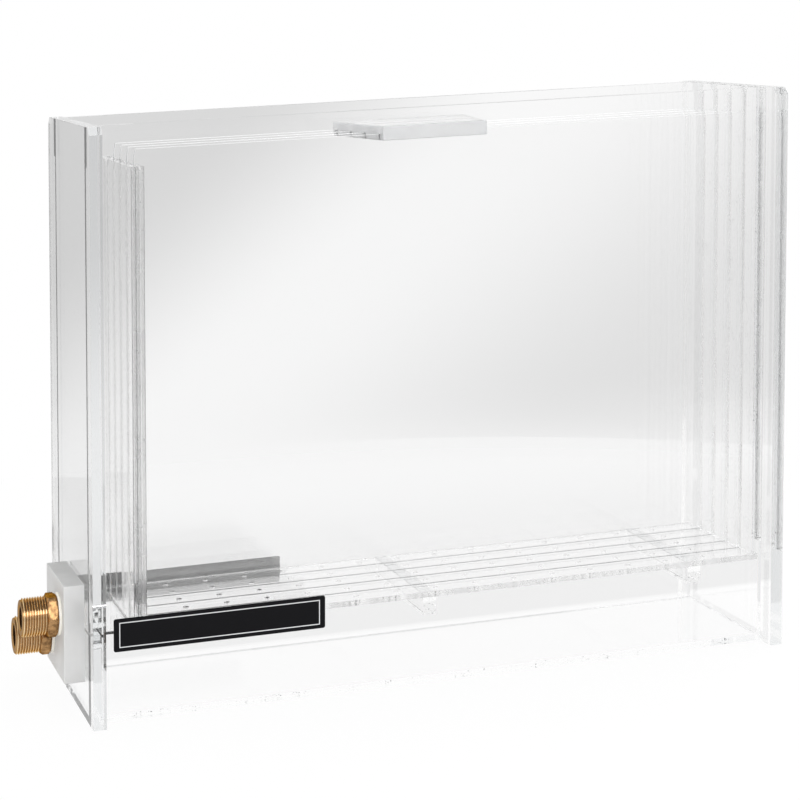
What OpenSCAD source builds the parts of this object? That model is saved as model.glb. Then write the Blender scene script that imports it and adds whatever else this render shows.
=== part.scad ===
// Archival print washer: a tall clear tank that stands on its floor panel, with a
// perforated false floor, an overflow weir at its left end and a rack of four dividers
// that lifts straight out. Millimetres, +Z up, +X along the tank towards its right end,
// +Y from its front towards its back. The origin is at the base, in the middle of the
// overall length and depth, hose fittings included.

/* [Tank] */
// Length over both end panels
tank_l = 500; // [300:5:800]
// Depth of the end panels, front edge to rear edge
tank_d = 160; // [140:1:300]
// Height of the end, front and back panels
tank_h = 400; // [260:5:700]
// Thickness of the end panels
end_t = 9; // [6:0.5:14]
// Thickness of the front and back panels
wall_t = 8; // [5:0.5:11]
// Thickness of the floor panel
floor_t = 3; // [2:0.5:12]
// Distance from the end panels' edges to the front and back panels
setback = 16; // [8:1:22]
// Leg of the chamfer at the end panels' top corners
corner_cut = 5; // [1:0.5:8]

/* [False floor] */
// Height of the perforated plate's top face
plate_z = 62; // [50:1:90]
// Thickness of the perforated plate
plate_t = 4; // [3:0.5:6]
// Diameter of the plate's water holes
hole_d = 4; // [2:0.5:5]
// Water holes along the plate
hole_cols = 14; // [4:1:16]
// Distance between the water holes along the plate
hole_step = 29; // [12:0.5:30]
// Width of a cross rib under the plate
rib_w = 10; // [6:1:20]
// Height of a cross rib
rib_h = 12; // [6:1:20]
// Distance between the middles of two cross ribs
rib_step = 200; // [60:1:240]
// Distance from the right end panel to the middle of the nearest cross rib
rib_end = 50; // [20:1:90]

/* [Weir and combs] */
// Width of the drain chamber between the left end panel and the weir wall
chamber_w = 23; // [20:1:40]
// Thickness of the weir wall
weir_t = 4; // [3:0.5:8]
// Distance from the tank's rim down to the weir's crest
weir_drop = 29; // [15:0.5:60]
// Thickness of the drain chamber's floor plate
drain_t = 2; // [2:0.5:3]
// Depth of the combs' slots along the tank
comb_t = 5; // [4:0.5:8]
// Width that a slot's mouth gains on each side at its top
lead_w = 3.2; // [1:0.1:5]
// Height of the slots' widened mouths
lead_h = 5; // [2:0.5:10]

/* [Dividers] */
// Thickness of a divider
divider_t = 3; // [2:0.1:5]
// Clearance between a divider and each side of its slot
slot_gap = 0.3; // [0.1:0.05:0.8]
// Clearance between a divider's left end and the bottom of its slot
end_gap = 2; // [0.5:0.5:3]
// Clearance between a divider's right end and the bottom of its slot
far_gap = 0.5; // [0.5:0.5:3]
// Distance from the tank's rim down to the dividers' top edges
divider_drop = 18.5; // [14:0.5:60]
// Width of the bevel at a divider's top corners
bevel_w = 1.2; // [0.4:0.1:3]
// Height of the bevel at a divider's top corners
bevel_h = 6; // [2:0.5:12]

/* [Handle plate] */
// Length of the handle plate's rear edge
handle_back_l = 100; // [40:1:160]
// Length of the handle plate's front edge
handle_front_l = 76; // [30:1:160]
// Thickness of the handle plate
handle_t = 10; // [6:0.5:13]
// Depth of the slots in its underside that take the dividers' top edges
lap = 4.5; // [2:0.5:4.5]
// Clearance between a divider and each side of its slot in the handle plate
lap_gap = 0.05; // [0.02:0.01:0.1]
// Distance that the plate reaches past the outer dividers
handle_over = 5; // [2:0.5:9]

/* [Fitting block] */
// Thickness of the block on the left end panel
block_t = 14; // [13:0.5:25]
// Width of the block, front to back
block_w = 70; // [66:0.5:90]
// Height of the block
block_h = 66.5; // [56:0.5:68]
// Distance from the end panels' front edge to the block's middle
block_y = 65; // [58:1:78]
// Distance between the two ports, front to back
port_gap = 30; // [29:0.5:32]
// Height that the inlet's waterway stays below the false floor's underside
inlet_drop = 2; // [0:0.5:3]

/* [Hose fittings] */
// Outside diameter of the hose thread
thread_d = 26.44; // [22:0.01:26.5]
// Length of the threaded nose
nose_l = 17; // [12:0.5:25]
// Leg of the chamfer at the nose's tip
tip_cut = 1; // [0.5:0.1:1.5]
// Width of the hexagon across its flats
hex_af = 27; // [27:0.5:32]
// Thickness of the hexagon
hex_t = 7.5; // [5:0.5:12]
// Diameter of the waterway
bore_d = 16; // [12:0.5:17]
// Diameter of the shank inside the block
shank_d = 20.9; // [19:0.1:24]
// Length of the shank
shank_l = 12; // [6:0.5:12]
// Clearance round the shank in the block
shank_gap = 0.05; // [0.02:0.01:0.1]
// Diameter of a gasket
gasket_d = 29; // [28:0.5:33]
// Thickness of a gasket
gasket_t = 2; // [1:0.5:3]

/* [Labels] */
// Length of a label
label_l = 147; // [40:1:250]
// Height of a label
label_h = 22.5; // [10:0.5:40]
// Thickness of a label
label_t = 0.5; // [0.3:0.1:1]
// Distance from the left end panel to a label
label_x = 8; // [2:1:30]
// Height of a label's lower edge above the base
label_z = 46.8; // [20:0.1:80]
// Radius of a label's corners
label_r = 1.5; // [0.5:0.5:4]

/* [Hidden] */
$fn = 96;

// Colours
clear = [0.84, 0.90, 0.92, 0.45];
frosted = [0.72, 0.78, 0.80, 0.6];
brass = [0.80, 0.60, 0.24];
cream = [0.90, 0.87, 0.76];
black = [0.05, 0.05, 0.05];

// How many dividers stand in the tank: one node is named for each
divider_n = 4;

// Reach of a hose fitting to the left of the left end panel
reach = block_t + gasket_t + hex_t + nose_l;
// From the tank's own corner (left face, front edge, base) to the origin
origin_x = (tank_l - reach) / 2;
origin_y = tank_d / 2;

// Inside faces of the tank
in_x0 = end_t;
in_x1 = tank_l - end_t;
in_y0 = setback + wall_t;
in_y1 = tank_d - in_y0;
in_d = in_y1 - in_y0;

// Underside of the false floor, and top face of the drain chamber's floor
under_z = plate_z - plate_t;
drain_z = under_z + drain_t;

// Weir wall and comb faces
weir_x = in_x0 + chamber_w;
comb_x0 = weir_x + weir_t;
comb_x1 = in_x1 - comb_t;
crest_z = tank_h - weir_drop;

// Cross ribs, counted from the right: they close up where the tank is too short for them
rib_n = 2;
rib_pitch = min(rib_step, (in_x1 - rib_end - weir_x - rib_w) / (rib_n - 1));

// Divider positions: equal compartments between them
pitch = (in_d + divider_t) / (divider_n + 1);
slot_w = divider_t + 2 * slot_gap;
divider_x0 = comb_x0 + end_gap;
divider_x1 = in_x1 - far_gap;
divider_z1 = tank_h - divider_drop;
function divider_y(i) = in_y0 + i * pitch - divider_t;

// Handle plate
handle_z = divider_z1 - lap;
handle_y0 = divider_y(1) - handle_over;
handle_y1 = divider_y(divider_n) + divider_t + handle_over;
handle_x = tank_l / 2;
lap_w = divider_t + 2 * lap_gap;

// Ports: the outlet just above the drain chamber's floor, the inlet below it
outlet_y = block_y - port_gap / 2;
inlet_y = block_y + port_gap / 2;
outlet_z = drain_z + bore_d / 2;
inlet_z = under_z - inlet_drop - bore_d / 2;
block_z = (outlet_z + inlet_z) / 2;
socket_d = shank_d + 2 * shank_gap;

// Moves the tank's own corner to the origin
module place() {
    translate([-origin_x, -origin_y, 0])
        children();
}

// A box from one corner to the opposite one
module span(a, b) {
    translate(a)
        cube(b - a);
}

// A round bar along +X
module bar_x(x, y, z, d, l) {
    translate([x, y, z])
        rotate([0, 90, 0])
            cylinder(d = d, h = l);
}

// ---------- Tank ----------

// An end panel's outline stands in the Y-Z plane and is extruded along X
module end_outline() {
    polygon([
        [0, 0],
        [tank_d, 0],
        [tank_d, tank_h - corner_cut],
        [tank_d - corner_cut, tank_h],
        [corner_cut, tank_h],
        [0, tank_h - corner_cut]
    ]);
}

module end_slab(x) {
    translate([x, 0, 0])
        rotate([90, 0, 90])
            linear_extrude(height = end_t)
                end_outline();
}

module left_end_panel() {
    color(clear)
        place()
            difference() {
                end_slab(0);
                bar_x(-1, outlet_y, outlet_z, bore_d, end_t + 2);
                bar_x(-1, inlet_y, inlet_z, bore_d, end_t + 2);
            }
}

module right_end_panel() {
    color(clear)
        place()
            end_slab(in_x1);
}

module front_panel() {
    color(clear)
        place()
            span([in_x0, setback, 0], [in_x1, in_y0, tank_h]);
}

module back_panel() {
    color(clear)
        place()
            span([in_x0, in_y1, 0], [in_x1, tank_d - setback, tank_h]);
}

module floor_panel() {
    color(clear)
        place()
            span([in_x0, in_y0, 0], [in_x1, in_y1, floor_t]);
}

// ---------- False floor ----------

// One row of water holes runs along the middle of each compartment
module diffuser_plate() {
    color(frosted)
        place()
            difference() {
                span([weir_x, in_y0, under_z], [in_x1, in_y1, plate_z]);
                for (row = [0 : divider_n], col = [0 : hole_cols - 1])
                    translate([
                        (comb_x0 + in_x1) / 2 + (col - (hole_cols - 1) / 2) * hole_step,
                        in_y0 + (row + 0.5) * pitch - divider_t / 2,
                        under_z - 1
                    ])
                        cylinder(d = hole_d, h = plate_t + 2, $fn = 24);
            }
}

module diffuser_ribs() {
    color(clear)
        place()
            for (i = [0 : rib_n - 1])
                let (x = in_x1 - rib_end - i * rib_pitch)
                    span(
                        [x - rib_w / 2, in_y0, under_z - rib_h],
                        [x + rib_w / 2, in_y1, under_z]
                    );
}

// ---------- Weir and combs ----------

module weir_wall() {
    color(clear)
        place()
            span([weir_x, in_y0, plate_z], [comb_x0, in_y1, crest_z]);
}

module drain_floor() {
    color(clear)
        place()
            span([in_x0, in_y0, under_z], [weir_x, in_y1, drain_z]);
}

// One upright strip between two slots, with its top edges cut back beside each slot
module strip(x, y0, y1, top, cut0, cut1) {
    translate([x, 0, 0])
        rotate([90, 0, 90])
            linear_extrude(height = comb_t)
                polygon([
                    [y0, plate_z],
                    [y1, plate_z],
                    [y1, top - cut1 * lead_h],
                    [y1 - cut1 * lead_w, top],
                    [y0 + cut0 * lead_w, top],
                    [y0, top - cut0 * lead_h]
                ]);
}

// The strip at either wall has a plain edge there, drawn as a cut of nearly nothing
module comb(x, top) {
    plain = 0.001;
    for (i = [0 : divider_n])
        strip(
            x,
            i == 0 ? in_y0 : divider_y(i) + divider_t + slot_gap,
            i == divider_n ? in_y1 : divider_y(i + 1) - slot_gap,
            top,
            i == 0 ? plain : 1,
            i == divider_n ? plain : 1
        );
}

module left_comb() {
    color(frosted)
        place()
            comb(comb_x0, crest_z);
}

module right_comb() {
    color(frosted)
        place()
            comb(comb_x1, tank_h);
}

// ---------- Fittings ----------

module fitting_block() {
    color(clear)
        place()
            difference() {
                span(
                    [-block_t, block_y - block_w / 2, block_z - block_h / 2],
                    [0, block_y + block_w / 2, block_z + block_h / 2]
                );
                bar_x(-block_t - 1, outlet_y, outlet_z, bore_d, block_t + 2);
                bar_x(-block_t - 1, inlet_y, inlet_z, bore_d, block_t + 2);
                bar_x(-block_t - 1, outlet_y, outlet_z, socket_d, shank_l + 1);
                bar_x(-block_t - 1, inlet_y, inlet_z, socket_d, shank_l + 1);
            }
}

module gasket(y, z) {
    translate([-block_t, y, z])
        rotate([0, -90, 0])
            difference() {
                cylinder(d = gasket_d, h = gasket_t);
                translate([0, 0, -1])
                    cylinder(d = socket_d, h = gasket_t + 2);
            }
}

module outlet_gasket() {
    color(cream)
        place()
            gasket(outlet_y, outlet_z);
}

module inlet_gasket() {
    color(cream)
        place()
            gasket(inlet_y, inlet_z);
}

// A hose fitting points to the left: shank in the block, hexagon, nose for the hose
module fitting(y, z) {
    collar = shank_l + gasket_t;
    translate([-block_t + shank_l, y, z])
        rotate([0, -90, 0])
            difference() {
                union() {
                    cylinder(d = shank_d, h = collar + 1);
                    translate([0, 0, collar])
                        rotate([0, 0, 30])
                            cylinder(d = hex_af / cos(30), h = hex_t, $fn = 6);
                    translate([0, 0, collar + hex_t - 1])
                        cylinder(d = thread_d, h = nose_l - tip_cut + 1);
                    translate([0, 0, collar + hex_t + nose_l - tip_cut])
                        cylinder(d1 = thread_d, d2 = thread_d - 2 * tip_cut, h = tip_cut);
                }
                translate([0, 0, -1])
                    cylinder(d = bore_d, h = collar + hex_t + nose_l + 2);
            }
}

module outlet_fitting() {
    color(brass)
        place()
            fitting(outlet_y, outlet_z);
}

module inlet_fitting() {
    color(brass)
        place()
            fitting(inlet_y, inlet_z);
}

// ---------- Labels ----------

// A thin plate with rounded corners that stands on a panel's outside face
module label_plate(y) {
    x0 = in_x0 + label_x;
    translate([x0, y, label_z])
        rotate([90, 0, 0])
            linear_extrude(height = label_t)
                union() {
                    translate([label_r, 0])
                        square([label_l - 2 * label_r, label_h]);
                    translate([0, label_r])
                        square([label_l, label_h - 2 * label_r]);
                    for (x = [label_r, label_l - label_r], z = [label_r, label_h - label_r])
                        translate([x, z])
                            circle(r = label_r);
                }
}

module front_label() {
    color(black)
        place()
            label_plate(setback);
}

module back_label() {
    color(black)
        place()
            label_plate(tank_d - setback + label_t);
}

// ---------- Lift-out rack ----------

module divider(i) {
    translate([0, divider_y(i) + divider_t, 0])
        rotate([90, 0, 0])
            linear_extrude(height = divider_t)
                polygon([
                    [divider_x0, plate_z],
                    [divider_x1, plate_z],
                    [divider_x1, divider_z1 - bevel_h],
                    [divider_x1 - bevel_w, divider_z1],
                    [divider_x0 + bevel_w, divider_z1],
                    [divider_x0, divider_z1 - bevel_h]
                ]);
}

module divider_1() {
    color(clear)
        place()
            divider(1);
}

module divider_2() {
    color(clear)
        place()
            divider(2);
}

module divider_3() {
    color(clear)
        place()
            divider(3);
}

module divider_4() {
    color(clear)
        place()
            divider(4);
}

// The plate narrows towards the front and rides on the dividers' top edges
module handle_plate() {
    color(frosted)
        place()
            difference() {
                translate([handle_x, 0, handle_z])
                    linear_extrude(height = handle_t)
                        polygon([
                            [-handle_front_l / 2, handle_y0],
                            [handle_front_l / 2, handle_y0],
                            [handle_back_l / 2, handle_y1],
                            [-handle_back_l / 2, handle_y1]
                        ]);
                for (i = [1 : divider_n])
                    span(
                        [handle_x - handle_back_l, divider_y(i) - lap_gap, handle_z - 1],
                        [handle_x + handle_back_l, divider_y(i) - lap_gap + lap_w, divider_z1]
                    );
            }
}

left_end_panel();
right_end_panel();
front_panel();
back_panel();
floor_panel();
diffuser_plate();
diffuser_ribs();
weir_wall();
drain_floor();
left_comb();
right_comb();
fitting_block();
outlet_gasket();
inlet_gasket();
outlet_fitting();
inlet_fitting();
front_label();
back_label();
divider_1();
divider_2();
divider_3();
divider_4();
handle_plate();
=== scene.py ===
import math

import bmesh
import bpy
from mathutils import Matrix, Vector


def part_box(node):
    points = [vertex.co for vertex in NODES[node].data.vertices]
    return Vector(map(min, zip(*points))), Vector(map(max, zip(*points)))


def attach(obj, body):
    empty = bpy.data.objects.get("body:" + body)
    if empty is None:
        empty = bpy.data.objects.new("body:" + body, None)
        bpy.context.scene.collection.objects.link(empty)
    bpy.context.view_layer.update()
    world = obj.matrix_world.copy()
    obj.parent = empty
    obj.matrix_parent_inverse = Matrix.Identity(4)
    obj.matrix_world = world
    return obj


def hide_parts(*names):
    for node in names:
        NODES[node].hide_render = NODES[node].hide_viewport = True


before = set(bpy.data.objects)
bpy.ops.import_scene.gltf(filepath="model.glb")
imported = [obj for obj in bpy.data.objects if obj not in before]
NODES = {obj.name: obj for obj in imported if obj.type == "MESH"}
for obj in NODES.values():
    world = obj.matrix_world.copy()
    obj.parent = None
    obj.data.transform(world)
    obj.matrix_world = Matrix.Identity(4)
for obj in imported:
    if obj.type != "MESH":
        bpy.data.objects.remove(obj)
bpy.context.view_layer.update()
MM = 0.001
scene = bpy.context.scene


# ---------------------------------------------------------------- shader maths
class Wire:
    """A shader socket that takes part in Python expressions."""

    def __init__(self, graph, socket):
        self.graph, self.socket = graph, socket

    def _math(self, operation, *values):
        return self.graph.add("ShaderNodeMath", {"operation": operation}, dict(enumerate(values)))

    def __add__(self, other): return self._math("ADD", self, other)
    def __radd__(self, other): return self._math("ADD", other, self)
    def __sub__(self, other): return self._math("SUBTRACT", self, other)
    def __rsub__(self, other): return self._math("SUBTRACT", other, self)
    def __mul__(self, other): return self._math("MULTIPLY", self, other)
    def __rmul__(self, other): return self._math("MULTIPLY", other, self)
    def __pow__(self, other): return self._math("POWER", self, other)
    def __abs__(self): return self._math("ABSOLUTE", self)
    def least(self, other): return self._math("MINIMUM", self, other)
    def most(self, other): return self._math("MAXIMUM", self, other)

    def ramp(self, low, high, to_low=0.0, to_high=1.0):
        """Smoothly from to_low at low to to_high at high."""
        return self.graph.add(
            "ShaderNodeMapRange",
            {"interpolation_type": "SMOOTHSTEP"},
            {"Value": self, "From Min": low, "From Max": high, "To Min": to_low, "To Max": to_high},
        )


class Graph:
    """The nodes of one material or of the world."""

    def __init__(self, owner):
        owner.use_nodes = True
        self.tree = owner.node_tree
        self.tree.nodes.clear()

    def add(self, kind, settings=None, values=None, out=0):
        """A node of a kind, with its settings and its sockets' values; gives back one of its outputs."""
        node = self.tree.nodes.new(kind)
        for key, value in (settings or {}).items():
            setattr(node, key, value)
        for key, value in (values or {}).items():
            if isinstance(value, Wire):
                self.tree.links.new(value.socket, node.inputs[key])
            else:
                node.inputs[key].default_value = value
        return Wire(self, node.outputs[out])

    def place(self, scale=(1, 1, 1)):
        """Object coordinates, stretched by scale."""
        where = self.add("ShaderNodeTexCoord", out="Object")
        return self.add("ShaderNodeMapping", {}, {"Vector": where, "Scale": scale})

    def parts(self, wire, *names):
        """The named outputs of the node that a wire comes from."""
        return [Wire(self, wire.socket.node.outputs[name]) for name in names]

    def axes(self, where):
        """The three parts of a vector."""
        return self.parts(self.add("ShaderNodeSeparateXYZ", {}, {0: where}), *"XYZ")

    def rays(self, *kinds):
        """Light Path's outputs for some kinds of ray, each 1 or 0."""
        return self.parts(self.add("ShaderNodeLightPath"), *kinds)

    def noise(self, where, scale, detail=3.0, rough=0.5):
        return self.add("ShaderNodeTexNoise", {},
                        {"Vector": where, "Scale": scale, "Detail": detail, "Roughness": rough})

    def blend(self, share, first, second):
        """From the first colour to the second as share goes from 0 to 1."""
        return self.add("ShaderNodeMix", {"data_type": "RGBA"}, {0: share, 6: first, 7: second}, out=2)

    def bump(self, height, distance, strength):
        return self.add("ShaderNodeBump", {}, {"Height": height, "Distance": distance, "Strength": strength})

    def tool_marks(self):
        """The fine upright strokes that a scraper or a cutter leaves on a cut edge."""
        return self.bump(self.noise(self.place((500, 500, 40)), 1.0, 3.0, 0.6), 0.00001, 0.4)

    def principled(self, **values):
        return self.add("ShaderNodeBsdfPrincipled", {}, {k.replace("_", " "): v for k, v in values.items()})

    def finish(self, surface, kind="ShaderNodeOutputMaterial"):
        end = self.tree.nodes.new(kind)
        self.tree.links.new(surface.socket, end.inputs["Surface"])


def colour(r, g, b):
    return (r, g, b, 1.0)


# ---------------------------------------------------------------- finishes
ACRYLIC = 1.49  # how strongly cast acrylic bends light
THREAD_PITCH, THREAD_DEPTH, THREAD_CREST = 25.4 / 14 * MM, 1.0 * MM, 13.22 * MM


def clear_sheet():
    """The polished faces of the cast sheets: clear, with wiping marks that hardly show."""
    mat = bpy.data.materials.new("clear_sheet_face")
    g = Graph(mat)
    smear = g.noise(g.place((3, 3, 9)), 6.0, 4.0, 0.6)
    specks = g.noise(g.place(), 700.0, 1.0, 0.5)
    g.finish(g.principled(
        Base_Color=colour(0.995, 0.995, 0.995),
        Roughness=smear.ramp(0.4, 0.8, 0.0, 0.02) + specks.ramp(0.76, 0.8, 0.0, 0.2),
        Transmission_Weight=1.0,
        IOR=ACRYLIC,
    ))
    return mat


def sawn_edge():
    """The sheets' cut edges: scraped and buffed, a little softer than the faces."""
    mat = bpy.data.materials.new("sheet_cut_edge")
    g = Graph(mat)
    cloud = g.noise(g.place(), 25.0, 3.0, 0.5)
    g.finish(g.principled(
        Base_Color=colour(0.87, 0.88, 0.885),
        Roughness=cloud.ramp(0.3, 0.7, 0.04, 0.1),
        Transmission_Weight=1.0,
        IOR=ACRYLIC,
        Normal=g.tool_marks(),
    ))
    return mat


def frosted(name, light, dark, through):
    """Faces with a fine frost, clouded from light to dark, that let a share of the light through."""
    mat = bpy.data.materials.new(name)
    g = Graph(mat)
    cloud = g.noise(g.place(), 40.0, 3.0, 0.5)
    g.finish(g.principled(
        Base_Color=g.blend(cloud.ramp(0.3, 0.7), light, dark),
        Roughness=cloud.ramp(0.3, 0.7, 0.46, 0.58),
        Transmission_Weight=through,
        IOR=ACRYLIC,
        Normal=g.tool_marks(),
    ))
    return mat


def milled_slot():
    """The combs' slots and the diffuser plate's edges: a fine frost that lets the light through."""
    mat = bpy.data.materials.new("comb_milled_slot")
    g = Graph(mat)
    cloud = g.noise(g.place(), 40.0, 3.0, 0.5)
    g.finish(g.principled(
        Base_Color=colour(0.995, 0.995, 0.995),
        Roughness=cloud.ramp(0.3, 0.7, 0.2, 0.3),
        Transmission_Weight=1.0,
        IOR=ACRYLIC,
        Normal=g.tool_marks(),
    ))
    return mat


def solvent_weld():
    """Where two sheets are welded into one: nothing shows but a few small trapped bubbles."""
    mat = bpy.data.materials.new("solvent_weld")
    g = Graph(mat)
    bubbles = g.noise(g.place(), 900.0, 2.0, 0.5)
    patches = g.noise(g.place(), 30.0, 2.0, 0.5)
    g.finish(g.principled(
        Base_Color=colour(0.55, 0.56, 0.57),
        Roughness=0.35,
        Alpha=bubbles.ramp(0.66, 0.70, 0.0, 0.8) * patches.ramp(0.5, 0.6),
    ))
    return mat


def brass():
    """Turned brass: its clean colour on the thread's crests, with painted shade, a dark brown, in its roots
    and in the bore.
    """
    mat = bpy.data.materials.new("turned_brass_painted_root_shade")
    g = Graph(mat)
    _, y, z = g.axes(g.place())
    reach = []
    for node in ("outlet_fitting", "inlet_fitting"):
        middle = sum(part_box(node), Vector()) / 2
        aside, up = y - middle.y, z - middle.z
        reach.append((aside * aside + up * up) ** 0.5)
    # painted shade: the thread's roots and the bore, the faces nearest the nipples' axes, are painted dark
    # brown
    root = reach[0].least(reach[1]).ramp(THREAD_CREST - 0.15 * MM, THREAD_CREST - THREAD_DEPTH)
    tool = g.noise(g.place((2600, 60, 60)), 1.0, 2.0, 0.5)
    tarnish = g.noise(g.place(), 160.0, 4.0, 0.6)
    clean = g.blend(tarnish.ramp(0.42, 0.75), colour(0.93, 0.72, 0.44), colour(0.80, 0.57, 0.30))
    g.finish(g.principled(
        Base_Color=g.blend(root, clean, colour(0.42, 0.25, 0.11)),
        Specular_Tint=colour(0.72, 0.54, 0.34),
        Metallic=1.0,
        Roughness=tarnish.ramp(0.3, 0.8, 0.14, 0.28),
        Normal=g.bump(tool, 0.00003, 0.6),
    ))
    return mat


def brass_painted_dark_shade():
    """The hexagons: the same metal as a darker copy, painted dark brown as painted shade for the dark room
    they mirror, blotched at random.
    """
    mat = bpy.data.materials.new("brass_painted_dark_shade")
    g = Graph(mat)
    tarnish = g.noise(g.place(), 220.0, 4.0, 0.6)
    g.finish(g.principled(
        # painted shade: both blotch colours are far darker than the nipples' brass
        Base_Color=g.blend(tarnish.ramp(0.35, 0.7), colour(0.50, 0.29, 0.13), colour(0.20, 0.11, 0.05)),
        Specular_Tint=colour(0.55, 0.38, 0.22),
        Metallic=1.0,
        Roughness=tarnish.ramp(0.3, 0.8, 0.22, 0.38),
        Normal=g.bump(tarnish, 0.00004, 0.5),
    ))
    return mat


def sealing_ring():
    """Cream rubber, matt, a little uneven."""
    mat = bpy.data.materials.new("cream_rubber")
    g = Graph(mat)
    mottle = g.noise(g.place(), 420.0, 3.0, 0.5)
    g.finish(g.principled(
        Base_Color=g.blend(mottle.ramp(0.35, 0.7), colour(0.97, 0.95, 0.88), colour(0.92, 0.89, 0.80)),
        Roughness=0.62,
        Normal=g.bump(mottle, 0.00005, 0.5),
    ))
    return mat


def black_plate():
    """The labels' faces: satin black with a fine brushed grain."""
    mat = bpy.data.materials.new("black_label_face")
    g = Graph(mat)
    grain = g.noise(g.place((60, 60, 2600)), 1.0, 2.0, 0.5)
    g.finish(g.principled(
        Base_Color=colour(0.005, 0.005, 0.006),
        Roughness=grain.ramp(0.3, 0.7, 0.3, 0.42),
        Specular_IOR_Level=0.08,
        Normal=g.bump(grain, 0.00001, 0.4),
    ))
    return mat


def glued_back():
    """The labels' glued backs, as they show through the clear sheet."""
    mat = bpy.data.materials.new("label_adhesive_back")
    g = Graph(mat)
    patch = g.noise(g.place((1, 1, 3)), 60.0, 3.0, 0.55)
    g.finish(g.principled(
        Base_Color=g.blend(patch.ramp(0.4, 0.65), colour(0.10, 0.10, 0.105), colour(0.17, 0.17, 0.175)),
        Roughness=0.55,
    ))
    return mat


def silver_line():
    """The labels' thin border, dull silver."""
    mat = bpy.data.materials.new("silver_label_line")
    g = Graph(mat)
    grain = g.noise(g.place((60, 60, 2600)), 1.0, 2.0, 0.5)
    g.finish(g.principled(
        Base_Color=colour(0.78, 0.79, 0.80),
        Metallic=0.7,
        Roughness=grain.ramp(0.3, 0.7, 0.3, 0.45),
    ))
    return mat


CLEAR, EDGE, WELD = clear_sheet(), sawn_edge(), solvent_weld()
FROSTED = frosted("sheet_frosted_edge", colour(0.985, 0.99, 0.995), colour(0.95, 0.96, 0.97), through=0.12)
HAZY = frosted("block_hazy_face", colour(0.84, 0.84, 0.835), colour(0.77, 0.77, 0.765), through=0.22)
SLOT = milled_slot()
BRASS, BRASS_PAINTED_DARK_SHADE = brass(), brass_painted_dark_shade()
CREAM, BLACK, BACK, SILVER = sealing_ring(), black_plate(), glued_back(), silver_line()


# ---------------------------------------------------------------- making pieces
SEAM = 0.02 * MM  # half of the glue line between two sheets
SAME_PLANE = 0.01 * MM  # faces nearer than this touch
LEAST_WELD = 0.05 * MM  # a weld is wider than this
BORE_FACET = 10 * MM * MM  # a bore's facets are smaller than this
FACE_SLOT, CUT_SLOT, WELD_SLOT = 0, 1, 2  # places among a sheet's finishes
AXES = [Vector((1, 0, 0)), Vector((0, 1, 0)), Vector((0, 0, 1))]
WELDED = [
    "left_end_panel", "right_end_panel", "front_panel", "back_panel", "floor_panel", "weir_wall",
    "drain_floor", "diffuser_ribs", "left_comb", "right_comb", "fitting_block",
]


def new_object(name, data):
    """An object of the scene that shows some data."""
    ob = bpy.data.objects.new(name, data)
    scene.collection.objects.link(ob)
    return ob


def piece(name, bm, body, finishes, slot, *stands_for):
    """Makes a mesh of bm into a piece that rides on body and stands for CAD nodes."""
    mesh = bpy.data.meshes.new(name)
    bm.to_mesh(mesh)
    bm.free()
    for finish in finishes:
        mesh.materials.append(finish)
    ob = new_object(name, mesh)
    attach(ob, body)
    if stands_for:
        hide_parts(*stands_for)


def merged(node):
    """A welded copy of a CAD node's mesh, its flat faces whole again."""
    bm = bmesh.new()
    bm.from_mesh(NODES[node].data)
    bmesh.ops.remove_doubles(bm, verts=bm.verts, dist=1e-6)
    bmesh.ops.dissolve_limit(bm, angle_limit=math.radians(1), verts=bm.verts, edges=bm.edges)
    for face in bm.faces:
        face.smooth = False
    return bm


def draw_in(bm, gap):
    """Draws a shape in by gap on every side, about its own middle."""
    low = Vector([min(v.co[k] for v in bm.verts) for k in range(3)])
    high = Vector([max(v.co[k] for v in bm.verts) for k in range(3)])
    centre, size = (low + high) / 2, high - low
    bmesh.ops.scale(
        bm,
        vec=[1 - 2 * gap / s for s in size],
        space=Matrix.Translation(-centre),
        verts=bm.verts,
    )


def ease_edges(bm, ease, least=20):
    """Rounds the edges of more than least degrees by ease, but for those beside a weld."""
    sharp = [e for e in bm.edges
             if len(e.link_faces) == 2 and e.calc_face_angle(0.0) > math.radians(least)
             and all(f.material_index != WELD_SLOT for f in e.link_faces)]
    bmesh.ops.bevel(
        bm, geom=sharp, offset=ease, segments=2, profile=0.5,
        affect="EDGES", material=-1, clamp_overlap=True,
    )


def flat_outlines(node):
    """The flat faces of a node that look along an axis, as (axis, side, level, corners)."""
    low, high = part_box(node)
    bm = merged(node)
    bm.normal_update()
    found = []
    for face in bm.faces:
        axis = max(range(3), key=lambda k: abs(face.normal[k]))
        if abs(face.normal[axis]) < 0.999:
            continue
        corners = [v.co.copy() for v in face.verts]
        if len(corners) > 8:  # a bored face counts as the plain rectangle round it
            across, along = (axis + 1) % 3, (axis + 2) % 3
            corners = [corners[0].copy() for _ in range(4)]
            for corner, (first, second) in zip(corners, ((low, low), (high, low), (high, high), (low, high))):
                corner[across], corner[along] = first[across], second[along]
        found.append((axis, math.copysign(1, face.normal[axis]), corners[0][axis], corners))
    bm.free()
    return found


OUTLINES = {node: flat_outlines(node) for node in WELDED}


def outward_sides(axis, corners):
    """The sides of a flat outline, each as a corner and the direction that leads out of it."""
    middle = sum(corners, Vector()) / len(corners)
    sides = []
    for start, end in zip(corners, corners[1:] + corners[:1]):
        out = (end - start).cross(AXES[axis]).normalized()
        sides.append((start, out if out.dot(middle - start) < 0 else -out))
    return sides


def touching(bm, axis, side, level, sides):
    """The faces of bm that lie on a flat outline, which is given with its outward sides."""
    bm.normal_update()
    return [f for f in bm.faces
            if f.normal[axis] * side < -0.999 and abs(f.verts[0].co[axis] - level) < SAME_PLANE
            and all(min((v.co - start).dot(out) for v in f.verts) < -LEAST_WELD for start, out in sides)]


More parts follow.
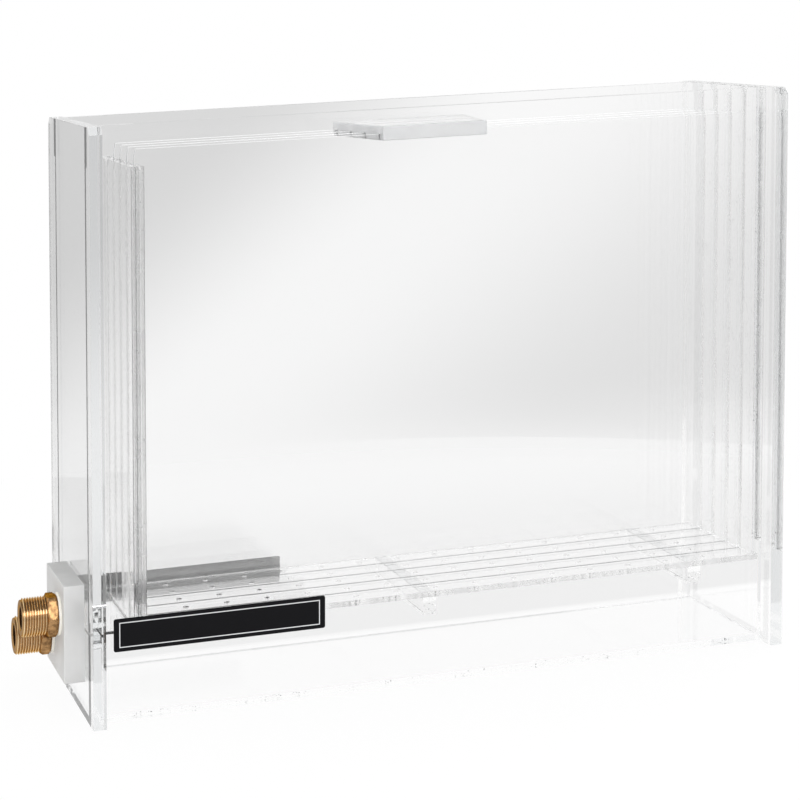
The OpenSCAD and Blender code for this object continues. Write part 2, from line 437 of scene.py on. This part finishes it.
def weld(bm, node):
    """Cuts out of a sheet's faces where other sheets are welded on, and marks these parts."""
    outlines = [outline for other in WELDED if other != node for outline in OUTLINES[other]]
    for axis, side, level, corners in outlines:
        sides = outward_sides(axis, corners)
        for start, out in sides:
            faces = touching(bm, axis, side, level, sides)
            edges = {e for f in faces for e in f.edges}
            verts = {v for f in faces for v in f.verts}
            bmesh.ops.bisect_plane(
                bm, geom=[*verts, *edges, *faces], dist=1e-6, plane_co=start, plane_no=out,
            )
        for face in touching(bm, axis, side, level, sides):
            middle = face.calc_center_median()
            if all((middle - start).dot(out) < 0 for start, out in sides):
                face.material_index = WELD_SLOT


def sheet(node, body, across, ease=0.35, cut=EDGE, face=CLEAR):
    """A clear sheet with edges eased by ease mm.

    Its two faces across the named axis have the finish face, and its cut edges the finish cut.
    """
    bm = merged(node)
    bm.normal_update()
    for side in bm.faces:
        flat = abs(side.normal["xyz".index(across)]) > 0.99
        bored = max(abs(part) for part in side.normal) < 0.999 and side.calc_area() < BORE_FACET
        side.material_index = FACE_SLOT if flat or bored else CUT_SLOT
    if node in WELDED:
        weld(bm, node)
    draw_in(bm, SEAM)
    ease_edges(bm, ease * MM)
    finishes = [face, cut, WELD] if node in WELDED else [face, cut]
    piece(node + "_sheet", bm, body, finishes, "acrylic", node)


sheet("left_end_panel", "tank", "x", 0.5)
sheet("right_end_panel", "tank", "x", 0.5)
sheet("front_panel", "tank", "y", 0.4)
sheet("back_panel", "tank", "y", 0.4)
sheet("floor_panel", "tank", "z", 0.4)
sheet("weir_wall", "tank", "x", 0.3)
sheet("drain_floor", "tank", "z", 0.2)
sheet("diffuser_ribs", "tank", "x", 0.3)
sheet("fitting_block", "tank", "x", 0.5, HAZY, HAZY)
sheet("left_comb", "tank", "x", 0.2, SLOT)
sheet("right_comb", "tank", "x", 0.2, SLOT)
sheet("diffuser_plate", "tank", "z", 0.1, SLOT)
for number in (1, 2, 3, 4):
    sheet(f"divider_{number}", "print_rack", "y", 0.25, FROSTED)
sheet("handle_plate", "print_rack", "z", 0.5, FROSTED)


# ---------------------------------------------------------------- turned pieces
NOSE, HEXAGON, NECK = 17.0 * MM, 7.5 * MM, 14.0 * MM  # the lengths of a hose nipple's parts
BORE, SHANK = 8.0 * MM, 10.45 * MM  # its radii


def turned(outline, steps):
    """Spins a closed outline of (distance out, radius) pairs round the line that points to -X."""
    bm = bmesh.new()
    points = [bm.verts.new((-out, 0, radius)) for out, radius in outline]
    lines = [bm.edges.new(pair) for pair in zip(points, points[1:] + points[:1])]
    bmesh.ops.spin(
        bm, geom=points + lines, cent=(0, 0, 0), axis=(1, 0, 0), angle=math.tau,
        steps=steps, use_merge=True, use_duplicate=False,
    )
    bmesh.ops.remove_doubles(bm, verts=bm.verts, dist=1e-6)
    bmesh.ops.recalc_face_normals(bm, faces=bm.faces)
    return bm


def smooth_below(bm, most=35):
    """Shades curved faces smooth and leaves edges of more than most degrees crisp."""
    for face in bm.faces:
        face.smooth = True
    for edge in bm.edges:
        if len(edge.link_faces) == 2 and edge.calc_face_angle(0.0) > math.radians(most):
            edge.smooth = False


def move_to(bm, middle):
    """Moves what was made round the origin to its place."""
    bmesh.ops.translate(bm, vec=middle, verts=bm.verts)


def on_axis(node, x):
    """The point at x on the middle line of a fitting or its gasket."""
    low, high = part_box(node)
    return Vector((x, (low.y + high.y) / 2, (low.z + high.z) / 2))


def set_radius(v, radius):
    """Moves a vertex straight in or out, to a radius from the x axis."""
    share = radius / math.hypot(v.co.y, v.co.z)
    v.co.y *= share
    v.co.z *= share


def gasket(node):
    """A flat rubber ring with rounded outer rims."""
    low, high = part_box(node)
    thick, outer = high.x - low.x, (high.z - low.z) / 2
    inner, ease = 10.5 * MM, 0.4 * MM
    nick = 0.3 * ease  # how far a rounded rim stays inside its corner
    bm = turned([
        (0, inner), (0, outer - ease), (nick, outer - nick), (ease, outer),
        (thick - ease, outer), (thick - nick, outer - nick), (thick, outer - ease), (thick, inner),
    ], 96)
    smooth_below(bm)
    draw_in(bm, SEAM)
    move_to(bm, on_axis(node, high.x))
    piece(node + "_ring", bm, "tank", [CREAM], "gasket", node)


def wound_thread():
    """A nipple's thread: one pitch of its section, wound round and along the nose."""
    root, crest = THREAD_CREST - THREAD_DEPTH, THREAD_CREST
    section = [(0.0, root), (0.30, crest), (0.44, crest), (0.74, root), (1.0, root)]  # shares of a pitch
    per_turn = 64  # steps in one turn
    bm = bmesh.new()
    points = [bm.verts.new(((1 - share) * THREAD_PITCH, 0, radius)) for share, radius in section]
    lines = [bm.edges.new(pair) for pair in zip(points, points[1:])]
    turns = math.ceil(NOSE / THREAD_PITCH) + 2
    bmesh.ops.spin(
        bm, geom=points + lines, cent=(0, 0, 0), axis=(1, 0, 0), angle=math.tau * turns,
        steps=per_turn * turns, dvec=(-THREAD_PITCH / per_turn, 0, 0), use_merge=False, use_duplicate=False,
    )
    bmesh.ops.remove_doubles(bm, verts=bm.verts, dist=2e-6)
    for at, side in ((0.0, 1), (-NOSE, -1)):
        bmesh.ops.bisect_plane(
            bm, geom=bm.verts[:] + bm.edges[:] + bm.faces[:], dist=1e-7,
            plane_co=(at, 0, 0), plane_no=(side, 0, 0), clear_outer=True,
        )
    # the tip is turned down past the thread's roots
    for v in bm.verts:
        most = root - 0.25 * MM + (v.co.x + NOSE)
        if math.hypot(v.co.y, v.co.z) > most:
            set_radius(v, most)
    bmesh.ops.remove_doubles(bm, verts=bm.verts, dist=2e-6)
    return bm


def nipple_body(node):
    """A brass nipple's threaded nose, its bore and its shank, in one piece."""
    bm = wound_thread()
    chamfer = 0.7 * MM  # at the bore's mouth
    shank_start, shank_end = 0.2 * MM, HEXAGON + NECK  # how far behind the nose
    # the tip's rim runs in to the bore, back along it and out over the shank
    rim = [e for e in bm.edges if e.is_boundary and all(abs(v.co.x + NOSE) < 1e-6 for v in e.verts)]
    stations = [
        (-NOSE, BORE + chamfer), (-NOSE + chamfer, BORE), (shank_end, BORE),
        (shank_end, SHANK), (shank_start, SHANK),
    ]
    for x, radius in stations:
        made = bmesh.ops.extrude_edge_only(bm, edges=rim)["geom"]
        rim = [e for e in made if isinstance(e, bmesh.types.BMEdge)]
        for v in {v for e in rim for v in e.verts}:
            v.co.x = x
            set_radius(v, radius)
    bmesh.ops.recalc_face_normals(bm, faces=bm.faces)
    smooth_below(bm, 25)
    low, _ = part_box(node)
    move_to(bm, on_axis(node, low.x + NOSE))
    piece(node + "_body", bm, "tank", [BRASS], "brass", node)


def nipple_hexagon(node):
    """A nipple's hexagon, its corners turned off at 30 degrees on both faces."""
    low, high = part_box(node)
    flat, hole = (high.z - low.z) / 2, 10.6 * MM
    washer_face = 0.973 * flat  # the round left on each face by the turning
    ends = [0.0, 0.25 * MM, 0.8 * MM, 1.5 * MM]
    ends += [HEXAGON - e for e in reversed(ends)]
    bm = turned([(0, hole)] + [(e, flat) for e in ends] + [(HEXAGON, hole)], 144)
    for v in bm.verts:
        if math.hypot(v.co.y, v.co.z) < flat * 0.98:
            continue  # it belongs to the hole
        angle = math.degrees(math.atan2(v.co.y, v.co.z)) % 60
        sixth = flat / math.cos(math.radians(min(angle, 60 - angle)))
        from_face = min(-v.co.x, HEXAGON + v.co.x)
        cone = washer_face + from_face / math.tan(math.radians(30))
        set_radius(v, min(sixth, cone))
    smooth_below(bm, 18)
    draw_in(bm, SEAM)
    move_to(bm, on_axis(node, low.x + NOSE + HEXAGON))
    piece(node + "_hexagon", bm, "tank", [BRASS_PAINTED_DARK_SHADE], "brass")


gasket("outlet_gasket")
gasket("inlet_gasket")
for fitting in ("outlet_fitting", "inlet_fitting"):
    nipple_body(fitting)
    nipple_hexagon(fitting)


# ---------------------------------------------------------------- labels
def label_plate(node, outward):
    """A black plate with a glued back; outward is -1 at the front and 1 at the back."""
    bm = merged(node)
    draw_in(bm, SEAM)
    for f in bm.faces:
        f.normal_update()
        f.material_index = 1 if f.normal.y * outward < -0.99 else 0
    ease_edges(bm, 0.08 * MM, 60)
    piece(node + "_plate", bm, "tank", [BLACK, BACK], "label", node)


def label_line(node, outward):
    """The silver line set in from a label's edge."""
    low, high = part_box(node)
    centre = (low + high) / 2
    front = low.y if outward < 0 else high.y
    aside, above = 3.8 * MM, 2.7 * MM  # from the plate's edge to the line
    wide, tall = high.x - low.x - 2 * aside, high.z - low.z - 2 * above
    line, thick, sunk = 0.6 * MM, 0.06 * MM, 0.03 * MM
    bm = bmesh.new()
    bmesh.ops.create_grid(bm, x_segments=1, y_segments=1, size=0.5)
    bmesh.ops.scale(bm, vec=(wide, tall, 1), verts=bm.verts)
    inner = bm.faces[:]
    bmesh.ops.inset_region(bm, faces=inner, thickness=line, use_boundary=True, use_even_offset=True)
    bmesh.ops.delete(bm, geom=inner, context="FACES")
    ring = bmesh.ops.extrude_face_region(bm, geom=bm.faces[:])["geom"]
    raised = [v for v in ring if isinstance(v, bmesh.types.BMVert)]
    bmesh.ops.translate(bm, vec=(0, 0, thick), verts=raised)
    turn = Matrix.Rotation(math.radians(90 if outward < 0 else -90), 3, "X")
    bmesh.ops.rotate(bm, cent=(0, 0, 0), matrix=turn, verts=bm.verts)
    bmesh.ops.recalc_face_normals(bm, faces=bm.faces)
    move_to(bm, Vector((centre.x, front - outward * sunk, centre.z)))
    piece(node + "_line", bm, "tank", [SILVER], "label")


for node, outward in (("front_label", -1), ("back_label", 1)):
    label_plate(node, outward)
    label_line(node, outward)


# ---------------------------------------------------------------- floor, light and camera
def studio_level(x, y, z):
    """How bright the studio is along a direction, for what the sheets mirror and bend.

    One slanting sweep of light behind the tank, greyer high up at its ends and low in the
    middle, between the white table and the white ceiling. The room is dim behind the tank's
    left corner, which the left end panel mirrors.
    """
    slant = 0.634 * abs(x) - 0.775 * z - 0.272
    level = 0.70 + 0.25 * slant.ramp(-0.08, 0.0) - 0.18 * slant.ramp(0.01, 0.12)
    level = level + (1.0 - level) * z.ramp(-0.02, 0.08)
    level = level + (0.94 - level) * z.ramp(-0.17, -0.23)
    corner = x.ramp(-0.32, -0.24) * x.ramp(0.10, -0.05) * y.ramp(0.2, 0.6)
    return level * (1.0 - 0.16 * corner)


def studio_floor():
    """A pale floor that keeps the tank's soft shadow and fades to plain white; in what the sheets bend and
    mirror, its glow carries painted shade.
    """
    bm = bmesh.new()
    bmesh.ops.create_circle(bm, cap_ends=True, segments=96, radius=0.8)
    mesh = bpy.data.meshes.new("studio_floor")
    bm.to_mesh(mesh)
    bm.free()
    mat = bpy.data.materials.new("white_floor")
    g = Graph(mat)
    where = g.place()
    reach = g.add("ShaderNodeVectorMath", {"operation": "LENGTH"}, {0: where}, out="Value")
    far = reach.ramp(0.3, 0.75, 0.95, 1.0)
    x, y, _ = g.axes(where)
    # painted shade in the floor's glow, for rays other than the eye's: white under and in front of the tank,
    # a darker band just behind it easing to 0.94 further back, and more painted shade behind its left corner
    level = 0.94 + 0.06 * y.ramp(0.08, 0.075) - 0.08 * y.ramp(0.08, 0.085) * y.ramp(0.6, 0.3)
    level = level * (1.0 - 0.28 * x.ramp(-0.26, -0.34) * y.ramp(0.0, 0.2))
    eye, glossy, through = g.rays("Is Camera Ray", "Is Glossy Ray", "Is Transmission Ray")
    seen = eye.most(through).most(glossy)
    plain = g.add("ShaderNodeBsdfDiffuse", {}, {"Color": colour(0.9, 0.9, 0.9)})
    glow = {"Color": colour(1, 1, 1), "Strength": level + (1.0 - level) * eye}
    white = g.add("ShaderNodeEmission", {}, glow)
    g.finish(g.add("ShaderNodeMixShader", {}, {0: seen * far, 1: plain, 2: white}))
    mesh.materials.append(mat)
    new_object("studio_floor", mesh)


def studio_world():
    """White all round to the eye, and the studio's soft greys in what the sheets bend and mirror."""
    world = bpy.data.worlds.new("studio_white")
    scene.world = world
    g = Graph(world)
    x, y, z = g.axes(g.add("ShaderNodeTexCoord", out="Generated"))
    eye, glossy = g.rays("Is Camera Ray", "Is Glossy Ray")
    level = studio_level(x, y, z) * (1.0 - 0.7 * glossy * z.ramp(0.6, 0.8))
    glow = {"Color": colour(1, 1, 1), "Strength": level + (1.0 - level) * eye}
    g.finish(g.add("ShaderNodeBackground", {}, glow), "ShaderNodeOutputWorld")


def soft_lamp(name, at, towards, size, power):
    """A softbox of a size in metres and a power in watts that faces a point."""
    lamp = bpy.data.lights.new(name, "AREA")
    lamp.shape, lamp.size, lamp.size_y, lamp.energy = "RECTANGLE", size[0], size[1], power
    ob = new_object(name, lamp)
    ob.location = at
    ob.rotation_mode = "QUATERNION"
    ob.rotation_quaternion = (Vector(towards) - Vector(at)).to_track_quat("-Z", "Y")


def photo_camera():
    """The photograph's own camera, with its off-centre crop and its slight skew."""
    focal, skew = 2309.7, -0.04009  # pixels; downward drift per pixel to the right
    middle_u, middle_v = 278.27, 148.04  # where its axis meets the frame
    at = Vector((-0.5008, -1.5580, 0.48976))
    yaw, pitch, roll = 0.263315, 0.067253, -0.002668
    ahead = Vector((math.sin(yaw) * math.cos(pitch), math.cos(yaw) * math.cos(pitch), -math.sin(pitch)))
    level = Vector((math.cos(yaw), -math.sin(yaw), 0))
    up = level.cross(ahead)
    right = level * math.cos(roll) + up * math.sin(roll)
    up = up * math.cos(roll) - level * math.sin(roll)
    half = 400.0
    centre = ahead + right * (half - middle_u) / focal + up * (middle_v + half * skew - half) / focal
    across = (right + up * skew).normalized()
    data = bpy.data.cameras.new("photo_camera")
    data.sensor_width = 36.0
    data.lens = focal * centre.length / (2 * half) * 36.0
    data.clip_start, data.clip_end = 0.01, 50
    cam = new_object("photo_camera", data)
    stand = new_object("camera_stand", None)
    slant = Matrix((across, up, -centre.normalized())).transposed().to_4x4()
    cam.parent = stand
    cam.matrix_parent_inverse = Matrix.Translation(at) @ slant
    scene.camera = cam


scene.view_settings.view_transform = "Standard"
scene.cycles.max_bounces = 40
scene.cycles.transmission_bounces = 40
scene.cycles.glossy_bounces = 32
scene.cycles.diffuse_bounces = 32
scene.cycles.transparent_max_bounces = 64
studio_floor()
studio_world()
soft_lamp("key_softbox", (0.05, -1.55, 1.15), (-0.26, 0, 0.06), (1.6, 0.8), 14)
soft_lamp("side_softbox", (1.3, 0.4, 1.6), (0, 0, 0.2), (1.0, 1.0), 10)
photo_camera()
